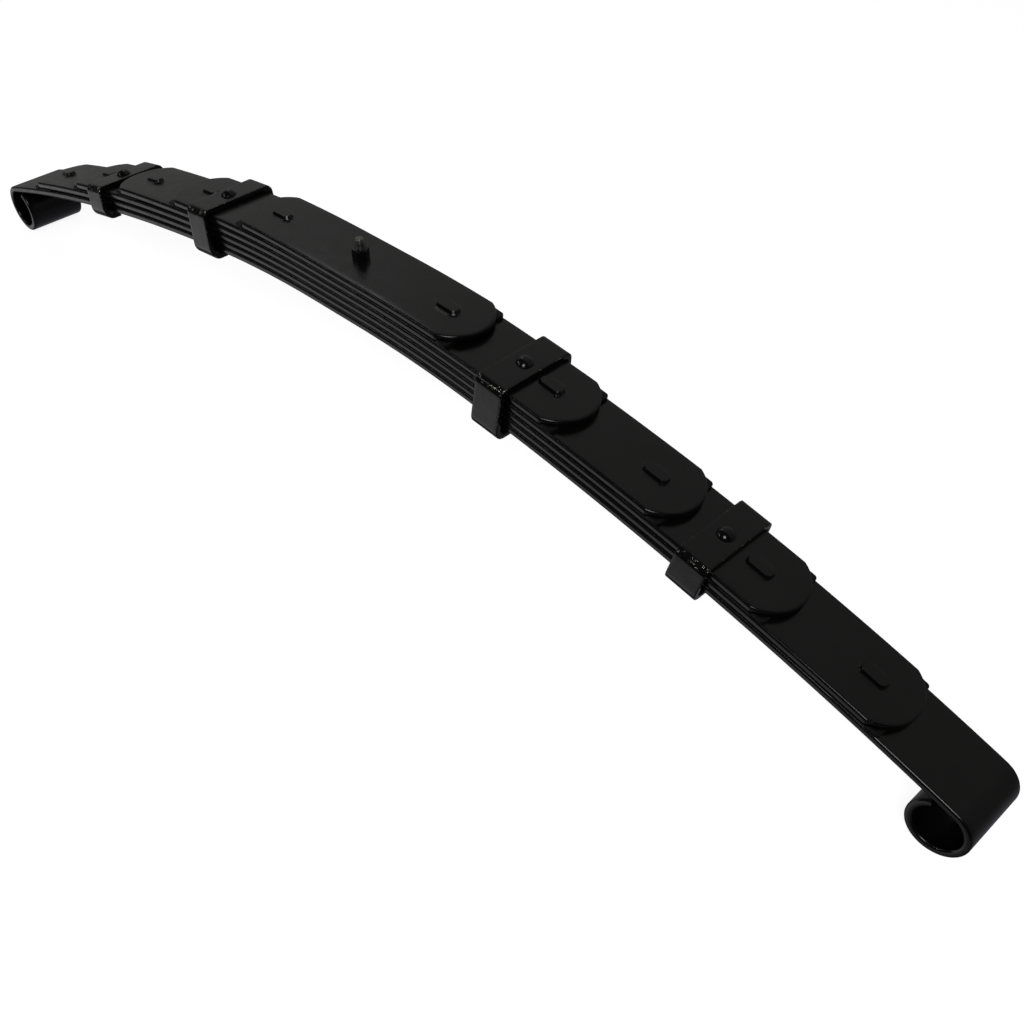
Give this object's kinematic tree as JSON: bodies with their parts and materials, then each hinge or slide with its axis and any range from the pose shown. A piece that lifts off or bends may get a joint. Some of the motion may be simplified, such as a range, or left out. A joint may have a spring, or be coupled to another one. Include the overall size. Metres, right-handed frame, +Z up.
{
  "type": "leaf spring",
  "caption": "Semi-elliptic vehicle leaf spring: graduated steel leaves, tip liners and riveted rebound clips held by a centre bolt, with a rolled eye at each end of the main leaf.",
  "frame": {"origin": "on the ground under the centre bolt, midway between the two eyes, with the spring stood on its eyes and the arch upwards", "axes": "+X along the spring towards one eye, +Y across the leaves along the eye bores, +Z up along the centre bolt"},
  "size_m": [1.2634, 0.08, 0.1961],
  "materials": {
    "spring_black": "gloss black paint",
    "clip_black": "gloss black paint, worn bright at the bends",
    "rivet_steel": "gloss black paint over a domed steel head",
    "liner_plastic": "satin black anti-friction plastic",
    "bolt_zinc": "bright zinc plate",
    "nut_black": "black oxide"
  },
  "bodies": {
    "spring_pack": {"main_leaf": "spring_black", "leaf_2": "spring_black", "leaf_2_liner_right": "liner_plastic", "leaf_2_liner_left": "liner_plastic", "leaf_3": "spring_black", "leaf_3_liner_right": "liner_plastic", "leaf_3_liner_left": "liner_plastic", "leaf_4": "spring_black", "leaf_4_liner_right": "liner_plastic", "leaf_4_liner_left": "liner_plastic", "leaf_5": "spring_black", "leaf_5_liner_right": "liner_plastic", "leaf_5_liner_left": "liner_plastic", "leaf_6": "spring_black", "leaf_6_liner_right": "liner_plastic", "leaf_6_liner_left": "liner_plastic", "inner_clip_right": "clip_black", "inner_rivet_right": "rivet_steel", "inner_clip_left": "clip_black", "inner_rivet_left": "rivet_steel", "outer_clip_right": "clip_black", "outer_rivet_right": "rivet_steel", "outer_clip_left": "clip_black", "outer_rivet_left": "rivet_steel", "centre_bolt": "bolt_zinc"},
    "nut": {"centre_nut": "nut_black"}
  },
  "joints": [
    {"name": "centre_nut_turn", "type": "hinge", "parent": "spring_pack", "child": "nut", "pos_m": [0, 0, 0.18414], "axis": [0, 0, 1], "continuous": true}
  ]
}
